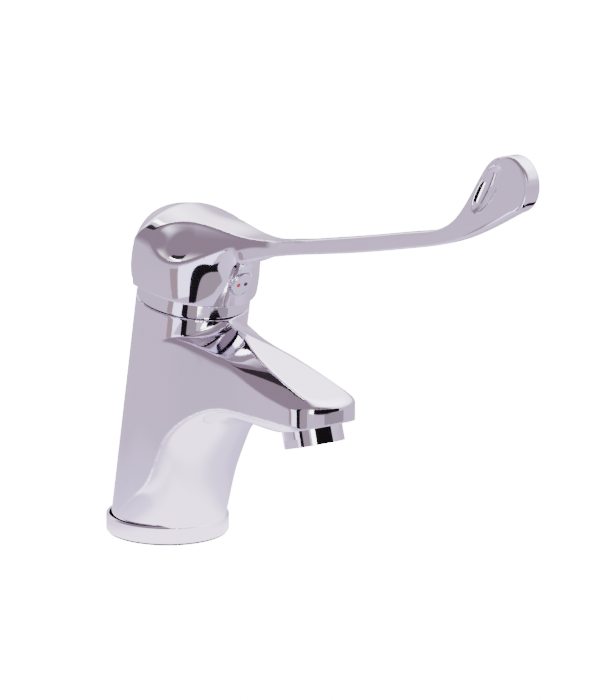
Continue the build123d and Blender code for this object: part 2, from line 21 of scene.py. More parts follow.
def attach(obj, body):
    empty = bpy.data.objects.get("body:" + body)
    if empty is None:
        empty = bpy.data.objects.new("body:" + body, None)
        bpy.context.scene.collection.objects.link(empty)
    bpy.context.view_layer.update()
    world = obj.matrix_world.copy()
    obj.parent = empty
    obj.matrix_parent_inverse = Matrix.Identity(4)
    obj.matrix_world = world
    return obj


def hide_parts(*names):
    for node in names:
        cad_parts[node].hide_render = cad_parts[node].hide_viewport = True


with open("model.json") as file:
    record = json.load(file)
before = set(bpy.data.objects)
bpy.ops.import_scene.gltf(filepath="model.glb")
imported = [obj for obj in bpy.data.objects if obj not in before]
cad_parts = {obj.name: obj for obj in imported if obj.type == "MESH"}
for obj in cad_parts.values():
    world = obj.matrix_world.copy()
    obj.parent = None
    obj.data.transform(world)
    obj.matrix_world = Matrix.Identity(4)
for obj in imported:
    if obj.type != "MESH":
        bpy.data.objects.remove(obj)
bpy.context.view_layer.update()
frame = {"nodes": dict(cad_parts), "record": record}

MM = 0.001

# %% [markdown]
# ## Directions that the whole tap shares
#
# The column leans forward, and the cartridge, the cover ring and the lever's
# head all sit on that leaning axis. An empty turned by the same angle could
# be their parent, but a shape that is worked out point by point needs the
# numbers themselves. So one function turns X and Z into distances across and
# along the axis, measured from the seam between body and lever. Lengths are
# in millimetres until a mesh is made.

# %% Name the leaning frame
LEAN = math.radians(10.2)
SEAM_X = 16.89
SEAM_Z = 100.0


def leaning(x, z):
    """Distance forward of the leaning axis, and height above the seam."""
    dx = x - SEAM_X
    dz = z - SEAM_Z
    across = dx * math.cos(LEAN) - dz * math.sin(LEAN)
    along = dx * math.sin(LEAN) + dz * math.cos(LEAN)
    return across, along


def axis_x(z):
    """Where the leaning axis stands at a height."""
    return SEAM_X + (z - SEAM_Z) * math.tan(LEAN)


print("the leaning axis meets the deck at x", round(axis_x(0), 2))

# %% [markdown]
# ## Solids as fields
#
# A casting has soft blends everywhere, which are hard to get from boxes and
# booleans. A field gives each point of space its rough distance to the
# surface, below zero inside. Two fields join by taking the lower value, and a
# rounded minimum leaves a fillet where they meet. The same trick with the
# higher value rounds an outer edge.

# %% Join and cut fields with rounded edges
def join(a, b, fillet):
    """Union of two fields with a fillet along their meeting line."""
    mix = np.clip(0.5 + 0.5 * (b - a) / fillet, 0, 1)
    return b + (a - b) * mix - fillet * mix * (1 - mix)


def keep(a, b, edge):
    """Common part of two fields with a rounded edge."""
    return -join(-a, -b, edge)


def cut(a, b, edge):
    """Field a with field b taken away, the rim rounded."""
    return keep(a, -b, edge)


print("a fillet of 4 mm adds", -float(join(0.0, 0.0, 4.0)), "mm where two faces meet")

# %% [markdown]
# ## Profiles from a few points
#
# A profile such as the lever's back is given by a few points that a smooth
# curve passes through. A Bezier curve could do it by hand, handle by handle.
# A natural cubic spline bends evenly by itself, which matters here because
# chrome shows each jump in curvature as a kink.

# %% Draw a smooth curve through points
def curve_through(points):
    """Natural cubic spline: value and slope at any position."""
    at = np.array([p[0] for p in points], float)
    value = np.array([p[1] for p in points], float)
    gap = np.diff(at)
    climb = np.diff(value) / gap
    count = len(at)
    system = np.eye(count)
    right = np.zeros(count)
    for i in range(1, count - 1):
        system[i, i - 1:i + 2] = gap[i - 1], 2 * (gap[i - 1] + gap[i]), gap[i]
        right[i] = 6 * (climb[i] - climb[i - 1])
    bend = np.linalg.solve(system, right)

    def read(x):
        """Height and slope of the curve at x, held level past both ends."""
        x = np.clip(x, at[0], at[-1])
        i = np.clip(np.searchsorted(at, x) - 1, 0, count - 2)
        h = gap[i]
        a = (at[i + 1] - x) / h
        b = 1 - a
        sag = (a ** 3 - a) * bend[i] + (b ** 3 - b) * bend[i + 1]
        y = a * value[i] + b * value[i + 1] + sag * h * h / 6
        turn = (3 * b * b - 1) * bend[i + 1] - (3 * a * a - 1) * bend[i]
        return y, climb[i] + turn * h / 6

    return read


def beside(curve, along, across):
    """Rough distance of points to one side of a curve, above is positive."""
    y, rise = curve(along)
    return (across - y) / np.sqrt(1 + rise * rise)


print("smooth curve through 0, 1, 4, read at 1.5:", curve_through([(0, 0), (1, 1), (2, 4)])(1.5)[0])

# %% [markdown]
# ## From a field to a mesh
#
# Metaballs or a remesh modifier could also turn a rough form into a skin, but
# both leave ripples that chrome would show. Here a grid of points says which
# cells the surface passes through, and each such cell gets one vertex.

# %% Find the cells that the surface crosses
def cell_corners(field):
    """The field at the eight corners of each cell."""
    ends = (slice(None, -1), slice(1, None))
    return [field[a, b, c] for a in ends for b in ends for c in ends]


def quads_across(field, ids, axis):
    """One face round every grid edge along an axis that crosses the surface."""
    inside = field < 0
    lead = np.moveaxis(inside, axis, 0)
    number = np.moveaxis(ids, axis, 0)
    change = lead[:-1, 1:-1, 1:-1] != lead[1:, 1:-1, 1:-1]
    i, j, k = np.nonzero(change)
    ring = [number[i, j, k], number[i, j + 1, k], number[i, j + 1, k + 1], number[i, j, k + 1]]
    faces = np.stack(ring, 1)
    flip = lead[:-1, 1:-1, 1:-1][i, j, k] == (axis == 1)
    faces[flip] = faces[flip][:, ::-1]
    return faces


def number_cells(field):
    """Cells that hold the surface, and a number for each of them."""
    corners = cell_corners(field < 0)
    crossed = np.logical_or.reduce(corners) & ~np.logical_and.reduce(corners)
    ids = np.full(crossed.shape, -1)
    ids[crossed] = np.arange(crossed.sum())
    return np.stack(np.nonzero(crossed), 1), ids


print("each cell of the grid has", len(cell_corners(np.zeros((2, 2, 2)))), "corners")

# %% [markdown]
# The vertices start at the middle of their cells, as a rough staircase. They
# are then pulled onto the surface along the field's slope, which gives the
# even curvature that a polished casting has.

# %% Pull the vertices onto the surface
PULLS = 6
LEAST_SLOPE = 0.2


def slope_of(shape, at, reach=0.05):
    """Field value and its slope at points, by small steps each way."""
    x, y, z = at.T
    slope = np.stack([
        shape(x + reach, y, z) - shape(x - reach, y, z),
        shape(x, y + reach, z) - shape(x, y - reach, z),
        shape(x, y, z + reach) - shape(x, y, z - reach),
    ], 1) / (2 * reach)
    return shape(x, y, z), slope


def pull_onto(shape, points, longest):
    """Points moved onto the surface where the field is zero."""
    for _ in range(PULLS):
        value, slope = slope_of(shape, points)
        pull = value / np.maximum((slope * slope).sum(1), LEAST_SLOPE)
        points = points - np.clip(pull[:, None] * slope, -longest, longest)
    return points


print("a cell's vertex is pulled", PULLS, "times")

# %% [markdown]
# The same few lines put every object into this scene, castings and cards
# alike. Operators that add primitives would need the right context each
# time, while a mesh made from plain lists of points and faces doesn't.

# %% Turn a field into an object
def add_object(name, points, faces):
    """New object in the scene, from points in metres."""
    mesh = bpy.data.meshes.new(name)
    mesh.from_pydata(points, [], faces)
    piece = bpy.data.objects.new(name, mesh)
    bpy.context.scene.collection.objects.link(piece)
    return piece


def mesh_from_field(name, shape, low, high, step):
    """Smooth mesh of the surface where the field is zero, in metres."""
    x, y, z = [np.arange(a, b + step, step) for a, b in zip(low, high)]
    field = shape(x[:, None, None], y[None, :, None], z[None, None, :])
    field = np.broadcast_to(field, (len(x), len(y), len(z)))
    cells, ids = number_cells(field)
    points = pull_onto(shape, np.array(low) + (cells + 0.5) * step, step)
    faces = np.concatenate([quads_across(field, ids, axis) for axis in range(3)])
    piece = add_object(name, (points * MM).tolist(), faces.tolist())
    piece.data.polygons.foreach_set("use_smooth", np.ones(len(faces), bool))
    piece.data.update()
    print(name, "vertices:", len(points), "faces:", len(faces))
    return piece


print("one millimetre is", MM, "metres in the scene")

# %% [markdown]
# ## The body: a leaning column
#
# The body is one casting, column and spout together. The column alone could
# be a turned cylinder. As a field it is one line, the distance from the axis
# less the radius, and it can melt into the spout with a fillet of any size.

# %% Lean the column
COLUMN_R = 22.85


def column_field(x, y, z):
    """Distance outside the leaning column."""
    across, _ = leaning(x, z)
    return np.sqrt(across * across + y * y) - COLUMN_R


print("column:", 2 * COLUMN_R, "mm across")

# %% [markdown]
# ## The spout's deck and flanks
#
# A narrow flat deck runs down the spout's middle and widens towards the nose,
# and a slightly hollow flank falls away from each of its edges. Edge loops on
# a subdivided mesh could carry these lines, but each loop more is a chance of
# a wave in the chrome. Two height rules are enough here: the deck falls at
# one slope, and the flank drops below it with a fall that eases outwards.

# %% Roof the spout
DECK_START = (39.4, 94.4)
DECK_FALL = 0.272
DECK_EDGE = 0.5
FLANK_FALL = 0.58
FLANK_EASE = 0.0081
FLANK_MEAN_FALL = 0.5

deck_half_width = curve_through([
    (39.4, -0.6), (51, 1.6), (61.6, 5.0), (76.5, 8.2), (97, 10.1), (110, 10.4),
])


def spout_top_field(x, y, z):
    """Deck and flanks, seen as one roof."""
    width, _ = deck_half_width(x)
    above_deck = z - DECK_START[1] + DECK_FALL * (x - DECK_START[0])
    over = np.abs(y) - width
    drop = FLANK_FALL * over - FLANK_EASE * np.maximum(over, 0) ** 2
    deck = above_deck / math.hypot(1, DECK_FALL)
    flank = (above_deck + drop) / math.hypot(1, FLANK_MEAN_FALL)
    return keep(deck, flank, DECK_EDGE)


print("deck falls", round(math.degrees(math.atan(DECK_FALL)), 1), "degrees towards the nose")

# %% [markdown]
# ## The spout from above
#
# From above, the sides run straight from the column's round to a nose that is
# a little squarer than a circle. A bevelled curve could trace this plan, but
# the sides have to touch the leaning column at every height, and a distance
# worked out in plan does that without a step.

# %% Lay out the spout's plan
NOSE_X = 93.2
NOSE_R = 16.0
NOSE_POWER = 2.35


def squarish_round(x, y, radius):
    """Distance outside a round that is a little squarer than a circle."""
    return (np.abs(x) ** NOSE_POWER + np.abs(y) ** NOSE_POWER) ** (1 / NOSE_POWER) - radius


def spout_plan_field(x, y, z):
    """Sides that touch the column's round and run straight to the round nose."""
    axis = axis_x(z)
    ahead = x - axis
    reach = NOSE_X - axis
    slim = (COLUMN_R - NOSE_R) / reach
    turn = np.sqrt(1 - slim * slim)
    side = np.abs(y) * turn + ahead * slim - COLUMN_R
    along = ahead * turn - np.abs(y) * slim
    round_back = np.sqrt(ahead * ahead + y * y) - COLUMN_R
    round_nose = squarish_round(x - NOSE_X, y, NOSE_R)
    return np.where(along < 0, round_back, np.where(along > turn * reach, round_nose, side))


print("spout reaches", NOSE_X, "mm to the outlet's middle")

# %% [markdown]
# ## The spout's leaning sides and the nose's facet
#
# Half way along, the sides lean in with height, but neither at the column nor
# at the nose. Above an upright band the nose is cut back to a slanted facet.
# A lattice could bend straight sides over. A lean that grows and fades along
# the spout says the same in one line.

# %% Lean the sides and cut the facet
BAND_TOP_Z = 74.4
SIDE_LEAN = 0.185
SIDE_LEAN_GROWS = (14, 46)
SIDE_LEAN_FADES = (52, 90)
SIDE_PLAN_Z = 64
FACET_TAPER = 0.2175
FACET_FALL = 0.789
FACET_EDGE = 0.9


def ramp(value, start, end):
    """Smooth step from 0 to 1 between two positions."""
    share = np.clip((value - start) / (end - start), 0, 1)
    return share * share * (3 - 2 * share)


def fade(value, start, end):
    """Smooth step from 1 to 0 between two positions."""
    return ramp(-value, -end, -start)


def side_lean(x):
    """How much the spout's sides lean in with height, none at either end."""
    return SIDE_LEAN * ramp(x, *SIDE_LEAN_GROWS) * fade(x, *SIDE_LEAN_FADES)


def facet_plan_field(ahead, y):
    """Plan of the facet: sides that taper into the nose's round."""
    turn = math.atan(FACET_TAPER)
    tapered = (np.abs(y) + FACET_TAPER * ahead) * math.cos(turn) - NOSE_R
    behind_nose = ahead * math.cos(turn) < np.abs(y) * math.sin(turn)
    return np.where(behind_nose, tapered, squarish_round(ahead, y, NOSE_R))


def spout_side_field(x, y, z):
    """Leaning sides, the nose's upright band and the facet above it."""
    lean_in = side_lean(x) * (z - SIDE_PLAN_Z) / math.hypot(1, SIDE_LEAN)
    low_side = spout_plan_field(x, y, z) + lean_in
    facet_plan = facet_plan_field(x - NOSE_X, y)
    facet = (facet_plan + FACET_FALL * (z - BAND_TOP_Z)) / math.hypot(1, FACET_FALL)
    return keep(low_side, facet, FACET_EDGE)


print("the sides lean in by", round(math.degrees(math.atan(SIDE_LEAN)), 1), "degrees at most")

# %% [markdown]
# ## The keel under the spout
#
# Below a crease on each side the body turns under like a boat's keel and
# sweeps down into the column. This could be sculpted by hand. Two curves in
# side view keep it exact instead: one says where the crease runs, the other
# where the underside's middle lies. Between them the width shrinks to nothing
# along a rounded path.

# %% Turn the sides under
CREASE_EDGE = 2.0
KEEL_BULGE = 0.55
KEEL_OPENING = 4
KEEL_LEAST_DEPTH = 4.0
KEEL_SCALE = 0.42

crease_height = curve_through([
    (-2, 10.5), (3.5, 16), (9, 20.5), (13.5, 24.5), (17.5, 30), (21.5, 37), (26.5, 46),
    (31.5, 51.5), (37, 56), (44, 60.4), (56, 65), (70, 66), (95, 66),
])
under_height = curve_through([
    (20.5, -10), (24, 9), (27, 21), (33, 38), (42, 51.5), (51, 57.3), (60, 59.2), (77, 58.4),
    (95, 60),
])


def keel_field(x, y, z):
    """Width that shrinks from the crease to the underside's middle."""
    crease_z, _ = crease_height(x)
    crease = beside(crease_height, x, z)
    under = beside(under_height, x, z)
    share = -crease / np.maximum(under - crease, KEEL_LEAST_DEPTH)
    axis = axis_x(crease_z)
    slim = (COLUMN_R - NOSE_R) / (NOSE_X - axis)
    lean_in = side_lean(x) * (crease_z - SIDE_PLAN_Z)
    width = COLUMN_R - slim * np.maximum(x - axis, 0) - lean_in
    below = (1 - share) * (1 + KEEL_BULGE * share)
    room = np.where(share > 0, below, 1 - KEEL_OPENING * share)
    return ((np.abs(y) / width) ** 2 - room) * width * KEEL_SCALE


print("crease height half way along the spout:", round(float(crease_height(55)[0]), 1))

# %% [markdown]
# ## The outlet's face and the two bores
#
# The nose ends below in a slanted face, and the chromed sleeve of the outlet
# stands in a bore there. A second, wide bore at the seam takes the cartridge
# and the cover ring. Boolean cutters would do, but as fields the bores get
# their rounded rims in the same step.

# %% Face the outlet and bore the body
NOSE_TILT = math.radians(16.5)
NOSE_FLOOR_Z = 62.6
OUTLET_BORE_R = 12.05
OUTLET_BORE_DEPTH = 8
CARTRIDGE_BORE_R = 19.45
CARTRIDGE_BORE_DEPTH = 9.0
BORE_CORNER = 0.2


def outlet_frame(x, z):
    """Distance across the outlet's axis, and height above its slanted face."""
    dx = x - NOSE_X
    dz = z - NOSE_FLOOR_Z
    across = dx * math.cos(NOSE_TILT) + dz * math.sin(NOSE_TILT)
    above = dz * math.cos(NOSE_TILT) - dx * math.sin(NOSE_TILT)
    return across, above


def outlet_bore_field(x, y, z):
    """Bore for the outlet's sleeve."""
    across, _ = outlet_frame(x, z)
    round_wall = np.sqrt(across * across + y * y) - OUTLET_BORE_R
    return keep(round_wall, z - NOSE_FLOOR_Z - OUTLET_BORE_DEPTH, BORE_CORNER)


def cartridge_bore_field(x, y, z):
    """Bore at the seam for the cartridge and the cover ring."""
    across, along = leaning(x, z)
    round_wall = np.sqrt(across * across + y * y) - CARTRIDGE_BORE_R
    return keep(round_wall, -CARTRIDGE_BORE_DEPTH - along, BORE_CORNER)


print("bores:", 2 * OUTLET_BORE_R, "mm at the outlet,", 2 * CARTRIDGE_BORE_R, "mm at the seam")

# %% [markdown]
# ## The body in one piece
#
# Now the parts of the body meet. The fillet between column and spout is nearly
# sharp at the spout's sides, which run into the column anyway, and grows to
# 5 mm towards the deck. One even fillet would be simpler, but it would wash
# out the clear line that the real casting has there. The skin ends just under
# the seam, which leaves the thin dark line above it, and starts 3 mm up,
# inside the foot's ring.

# %% Join the body
ROOF_EDGE = 2.2
FLOOR_EDGE = 0.6
FLOOR_START_X = 74
WELL_INSIDE = -5.0
SPOUT_BEHIND_AXIS = 4
SPOUT_BACK_EDGE = 0.5
FILLET_LEAST = 0.3
FILLET_GROWTH = 4.7
FILLET_DEPTHS = (0.5, 7)
SEAM_GAP = 0.4
FOOT_Z = 3.0
FOOT_EDGE = 0.5
CARTRIDGE_RIM = 0.3
OUTLET_RIM = 0.4


def spout_field(x, y, z, sides):
    """Spout alone: roof, sides, keel and the outlet's face."""
    spout = keep(spout_top_field(x, y, z), sides, ROOF_EDGE)
    spout = keep(spout, keel_field(x, y, z), CREASE_EDGE)
    _, above = outlet_frame(x, z)
    floor = np.where(x > FLOOR_START_X, -above, WELL_INSIDE)
    spout = keep(spout, floor, FLOOR_EDGE)
    across, _ = leaning(x, z)
    return keep(spout, -across - SPOUT_BEHIND_AXIS, SPOUT_BACK_EDGE)


def body_field(x, y, z):
    """The whole casting with its two bores."""
    sides = spout_side_field(x, y, z)
    spout = spout_field(x, y, z, sides)
    fillet = FILLET_LEAST + FILLET_GROWTH * ramp(-sides, *FILLET_DEPTHS)
    outside = join(column_field(x, y, z), spout, fillet)
    _, along = leaning(x, z)
    outside = keep(outside, along + SEAM_GAP, SEAM_GAP)
    outside = keep(outside, FOOT_Z - z, FOOT_EDGE)
    outside = cut(outside, cartridge_bore_field(x, y, z), CARTRIDGE_RIM)
    return cut(outside, outlet_bore_field(x, y, z), OUTLET_RIM)


print("fillet at the deck:", round(FILLET_LEAST + FILLET_GROWTH, 1), "mm")

# %% [markdown]
# The grid's points stand 0.6 mm apart, close enough for the smallest rounding
# that shows. The CAD casting is then hidden, so that this skin takes its place,
# wears chrome and stays with the fixed body.

# %% Make the body
SKIN_STEP = 0.6
BODY_LOW = (-26, -25, 1.5)
BODY_HIGH = (112, 25, 105)

body = mesh_from_field("body_skin", body_field, BODY_LOW, BODY_HIGH, SKIN_STEP)
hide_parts("body_casting")
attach(body, "body")

# %% [markdown]
# ## The lever: its profile
#
# Head, bar and paddle are one casting too. In side view the whole lever hangs
# between two lines: its back, from the head's crown to the paddle's tip, and
# its underside. Both are drawn through points. The bar could be a bevelled
# curve, but its thickness changes all along, and two lines say that directly.

# %% Draw the lever's side view
lever_top = curve_through([
    (12, 137.1), (25.4, 135.4), (38.1, 134.4), (50, 133.1), (60.7, 132.8), (72, 133.8),
    (83.2, 135.8), (101, 139.7), (119.7, 143.9), (137.5, 148.1), (155.1, 152.3), (165, 154.6),
    (174, 157.9), (181, 163.0), (187, 170.2), (193, 178.8), (199, 186.4), (204, 189.4),
    (210, 190.8), (216, 190.8),
])
lever_under = curve_through([
    (52, 121), (64, 124.9), (76, 128.2), (89, 131.1), (119.8, 137.5), (155.2, 145.9),
    (172.6, 150.5), (184, 154.6), (194, 159.2), (203, 163.9), (212, 168.9), (218, 172.2),
])
BAR_MIDDLE_X = 120
bar_height = float(lever_top(BAR_MIDDLE_X)[0] - lever_under(BAR_MIDDLE_X)[0])
print("bar height half way along:", round(bar_height, 1), "mm")

# %% [markdown]
# ## The head
#
# The head is a squat egg that leans with the column. A scaled sphere comes
# close, but the real head is a little fuller at its shoulders. Raising the
# distances to a power above 2 fills them. Its top follows the lever's back
# and falls away to each side, so head and bar share one unbroken crown.

# %% Shape the head and its crown
HEAD_CENTRE = (-1.5, 14.0)
HEAD_HALF = (26.5, 24.9, 25.2)
HEAD_POWER = 2.25
HEAD_SCALE = 24.5
CROWN_FADES = (24, 62)
CROWN_BEND = 66
CROWN_RISE = 0.9


def head_field(x, y, z):
    """Egg round a point of the leaning axis."""
    across, along = leaning(x, z)
    a = np.abs(across - HEAD_CENTRE[0]) / HEAD_HALF[0]
    b = np.abs(y) / HEAD_HALF[1]
    c = np.abs(along - HEAD_CENTRE[1]) / HEAD_HALF[2]
    plan = np.sqrt(a * a + b * b)
    return ((plan ** HEAD_POWER + c ** HEAD_POWER) ** (1 / HEAD_POWER) - 1) * HEAD_SCALE


def crown_field(x, y, z):
    """Top of head and lever: its middle line, falling to each side of the head."""
    near_head = fade(x, *CROWN_FADES)
    return beside(lever_top, x, z + near_head * (y * y / CROWN_BEND - CROWN_RISE))


print("head:", 2 * HEAD_HALF[0], "mm long,", 2 * HEAD_HALF[1], "mm wide")

# %% [markdown]
# ## The bow under the lever
#
# Below the bar the head comes forward as a rounded ridge, like a boat's bow,
# and joins the bar's underside to the front of the skirt. One large fillet
# under the bar wouldn't bring the front out far enough. So the bow is a form
# of its own: a front line in side view, a width that narrows towards the bar,
# and a plan that is rounder than a wedge.

# %% Grow the bow
BOW_LENGTH = 18.0
BOW_POWER = 2.6
BOW_LOW_Z = 99
BOW_BACK_X = 10
BOW_LIMIT_EDGE = 1
BOW_LEAST_SLOPE = 0.03

ridge_front = curve_through([
    (98, 42.6), (104, 45.0), (109, 47.2), (114, 49.2), (118, 51.2), (122, 54.2), (126, 58.4),
    (129.5, 64.5), (132, 71.0), (135, 79.0),
])
root_half_width = curve_through([
    (10, 25.0), (24, 22.5), (36.7, 17.5), (45.6, 12.6), (55.5, 8.3), (62, 6.3), (68.3, 5.2),
    (76, 4.4), (83.2, 3.8), (100, 3.4), (225, 3.4),
])


def bow_field(x, y, z):
    """Front of the head under the lever, round like a boat's bow in plan."""
    front, _ = ridge_front(z)
    width, _ = root_half_width(x)
    ahead = np.maximum(BOW_LENGTH - (front - x), 0) / BOW_LENGTH
    aside = np.abs(y) / width
    bow = (ahead ** BOW_POWER + aside ** BOW_POWER + 1e-9) ** (1 / BOW_POWER) - 1
    slope = np.sqrt((ahead / BOW_LENGTH) ** 2 + (aside / width) ** 2) / (1 + bow)
    bow = bow / np.maximum(slope, BOW_LEAST_SLOPE)
    return keep(keep(bow, BOW_LOW_Z - z, BOW_LIMIT_EDGE), BOW_BACK_X - x, BOW_LIMIT_EDGE)


print("the bow's front under the bar:", round(float(ridge_front(122)[0]), 1))

# %% [markdown]
# ## The bar and its paddle
#
# The bar is flat and upright, a little under 7 mm wide, and ends in a round
# paddle that an elbow can push. Thick plate with a bevel modifier would look
# much the same from the side. Here the bar stops at a plane through the
# paddle's middle, so that only the paddle's own round makes the tip.

# %% Draw the bar and the paddle
PADDLE = (210.4, 180.0)
PADDLE_R = 10.7
PADDLE_FILLET = 0.6
BAR_END = (0.876, 0.482)
BAR_START_X = 56
BAR_START_EDGE = 2
BAR_END_EDGE = 0.3
BAR_BACK_EDGE = 1.2
BAR_SIDE_EDGE = 1.3


def lever_field(x, y, z):
    """Bar between its two lines, with the paddle at its end."""
    under = -beside(lever_under, x, z)
    past_paddle = (x - PADDLE[0]) * BAR_END[0] + (z - PADDLE[1]) * BAR_END[1]
    bar = keep(keep(under, BAR_START_X - x, BAR_START_EDGE), past_paddle, BAR_END_EDGE)
    bar = keep(bar, beside(lever_top, x, z), BAR_BACK_EDGE)
    paddle = np.sqrt((x - PADDLE[0]) ** 2 + (z - PADDLE[1]) ** 2) - PADDLE_R
    side = join(bar, paddle, PADDLE_FILLET)
    width, rise = root_half_width(x)
    flat = (np.abs(y) - width) / np.sqrt(1 + rise * rise)
    return keep(side, flat, BAR_SIDE_EDGE)


print("bar:", 2 * float(root_half_width(BAR_MIDDLE_X)[0]), "mm wide")

# %% [markdown]
# ## The hollow in each side
#
# A long hollow is milled into each side of the head and runs out along the
# bar, as a ball-nosed cutter leaves it. So it is cut with the cutter's own
# form, a thick rod with round ends. Only one rod is needed, because the
# distance to the tap's middle plane is the same on both sides.

# %% Mill the hollow
HOLLOW_START = (11.1, 27.0, 38.8)
HOLLOW_END = (46.0, 20.4, 48.6)
HOLLOW_R = 17.5


def between(x, y, z, start, end, radius):
    """Distance to a rod with round ends."""
    line = np.array(end, float) - np.array(start, float)
    dx, dy, dz = x - start[0], y - start[1], z - start[2]
    share = np.clip((dx * line[0] + dy * line[1] + dz * line[2]) / (line @ line), 0, 1)
    gap = (dx - share * line[0]) ** 2 + (dy - share * line[1]) ** 2 + (dz - share * line[2]) ** 2
    return np.sqrt(gap) - radius


def hollow_field(x, y, z):
    """Milled hollow that runs from the head's side along the bar."""
    across, along = leaning(x, z)
    return between(across, np.abs(y), along, HOLLOW_START, HOLLOW_END, HOLLOW_R)


print("the hollow's cutter:", 2 * HOLLOW_R, "mm across")

# %% [markdown]
# ## The dimple in the paddle
#
# An oval dimple is pressed into each face of the paddle. A decal or a bump
# would not hold up in chrome, where the reflection has to turn over inside
# the dimple, so a long, flat ellipsoid is taken out of each side.

# %% Press the dimple
DIMPLE_TILT = math.radians(52.6)
DIMPLE_CENTRE = (198.6, 3.5, 176.3)
DIMPLE_HALF = (12.2, 4.0, 2.6)
DIMPLE_LEAST_SLOPE = 0.05


def dimple_field(x, y, z):
    """Ellipsoid along the paddle, on each side of the middle plane."""
    dx = x - DIMPLE_CENTRE[0]
    dz = z - DIMPLE_CENTRE[2]
    along = dx * math.cos(DIMPLE_TILT) + dz * math.sin(DIMPLE_TILT)
    across = -dx * math.sin(DIMPLE_TILT) + dz * math.cos(DIMPLE_TILT)
    depth = np.abs(y) - DIMPLE_CENTRE[1]
    long, wide, deep = DIMPLE_HALF
    oval = np.sqrt((along / long) ** 2 + (across / wide) ** 2 + (depth / deep) ** 2) + 1e-6
    steep = (along / long ** 2) ** 2 + (across / wide ** 2) ** 2 + (depth / deep ** 2) ** 2
    slope = np.sqrt(steep) / oval
    return (oval - 1) / np.maximum(slope, DIMPLE_LEAST_SLOPE)


print("dimple:", 2 * DIMPLE_HALF[0], "by", 2 * DIMPLE_HALF[1], "mm")

# %% [markdown]
# ## The room inside and the button's seat
#
# The skirt slides over the rounded cover ring when the lever lifts, so the
# room inside the head is a ball about the lever's pivot, a little larger at
# the rear. The round plug with the two dots sits in a shallow seat in front,
# and that seat looks slightly down. Booleans with two balls and a cylinder
# would do as well. As fields they share the lever's own frame, and the cover
# ring and the button show in their places.

# %% Clear the head and seat the button
LIP_H = 6.2
PIVOT_BELOW_SEAM = 4
ROOM_FRONT_R = 23.3
ROOM_REAR_R = 24.6
ROOM_SPLIT = 2
BUTTON_TILT = math.radians(12.4)
BUTTON_CENTRE = (29.6, 16.6)
BUTTON_SEAT_R = 5.2
BUTTON_SEAT_DEPTH = 2.1
SEAT_CORNER = 0.2


def room_field(x, y, z):
    """Ball about the pivot that clears the cover ring."""
    across, along = leaning(x, z)
    pivot = np.sqrt(across * across + y * y + (along + PIVOT_BELOW_SEAM) ** 2)
    return np.where(across < ROOM_SPLIT, pivot - ROOM_REAR_R, pivot - ROOM_FRONT_R)


def button_axis(x, y, z):
    """Distance out along the button's axis, and distance from that axis."""
    across, along = leaning(x, z)
    da = across - BUTTON_CENTRE[0]
    dh = along - BUTTON_CENTRE[1]
    out = da * math.cos(BUTTON_TILT) - dh * math.sin(BUTTON_TILT)
    off = da * math.sin(BUTTON_TILT) + dh * math.cos(BUTTON_TILT)
    return out, np.sqrt(off * off + y * y)


def button_seat_field(x, y, z):
    """Shallow round seat for the button."""
    out, off = button_axis(x, y, z)
    return keep(off - BUTTON_SEAT_R, -BUTTON_SEAT_DEPTH - out, SEAT_CORNER)


print("button's seat:", 2 * BUTTON_SEAT_R, "mm across,", BUTTON_SEAT_DEPTH, "mm deep")

# %% [markdown]
# ## The lever in one piece
#
# Head and bow are joined first, then the bar with a wider fillet. The crown
# trims their top. Its edge is well rounded on the head and fades out along
# the bar, because a sudden end of a rounding shows in chrome as a step. The
# hollow, the room inside, the dimples and the button's seat are cut last.

# %% Join the lever
BOW_FILLET = 3.0
BAR_FILLET = 6.0
CROWN_EDGE_LEAST = 0.05
CROWN_EDGE_GROWTH = 3.95
CROWN_EDGE_FADES = (24, 66)
CROWN_END_X = 110
HOLLOW_EDGE = 0.8
LIP_EDGE = 0.6
ROOM_EDGE = 0.3
DIMPLE_EDGE = 0.25
SEAT_EDGE = 0.35


def handle_field(x, y, z):
    """The whole lever: head, bow, bar and paddle with all that is cut out."""
    solid = join(head_field(x, y, z), bow_field(x, y, z), BOW_FILLET)
    solid = join(solid, lever_field(x, y, z), BAR_FILLET)
    crown_edge = CROWN_EDGE_LEAST + CROWN_EDGE_GROWTH * fade(x, *CROWN_EDGE_FADES)
    crowned = keep(solid, crown_field(x, y, z), crown_edge)
    solid = np.where(x < CROWN_END_X, crowned, solid)
    solid = cut(solid, hollow_field(x, y, z), HOLLOW_EDGE)
    _, along = leaning(x, z)
    solid = keep(solid, LIP_H - along, LIP_EDGE)
    solid = cut(solid, room_field(x, y, z), ROOM_EDGE)
    solid = cut(solid, dimple_field(x, y, z), DIMPLE_EDGE)
    return cut(solid, button_seat_field(x, y, z), SEAT_EDGE)


print("rounding of the crown on the head:", CROWN_EDGE_LEAST + CROWN_EDGE_GROWTH, "mm")

# %% [markdown]
# The lever gets the same grid as the body. It rides with the body named
# handle, so it turns and lifts with the joints.

# %% Make the lever
HANDLE_LOW = (-13, -28, 99)
HANDLE_HIGH = (224, 28, 193)

handle = mesh_from_field("lever_skin", handle_field, HANDLE_LOW, HANDLE_HIGH, SKIN_STEP)
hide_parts("handle_casting")
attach(handle, "handle")

# %% [markdown]
# ## Finishes
#
# Every finish on the tap is plain: one colour, one degree of gloss, and a
# little unevenness from how it was made. Image textures could carry that
# unevenness, but noise nodes need no files and no unwrapping, and they lie in
# the piece, so they move with it. A few helpers build all the finishes.

# %% Prepare the helpers for finishes
def new_material(name, colour, metallic, roughness):
    """Material with one colour, and the shader node that carries it."""
    material = bpy.data.materials.new(name)
    material.use_nodes = True
    shader = material.node_tree.nodes["Principled BSDF"]
    shader.inputs["Base Color"].default_value = (*colour, 1)
    shader.inputs["Metallic"].default_value = metallic
    shader.inputs["Roughness"].default_value = roughness
    return material, shader


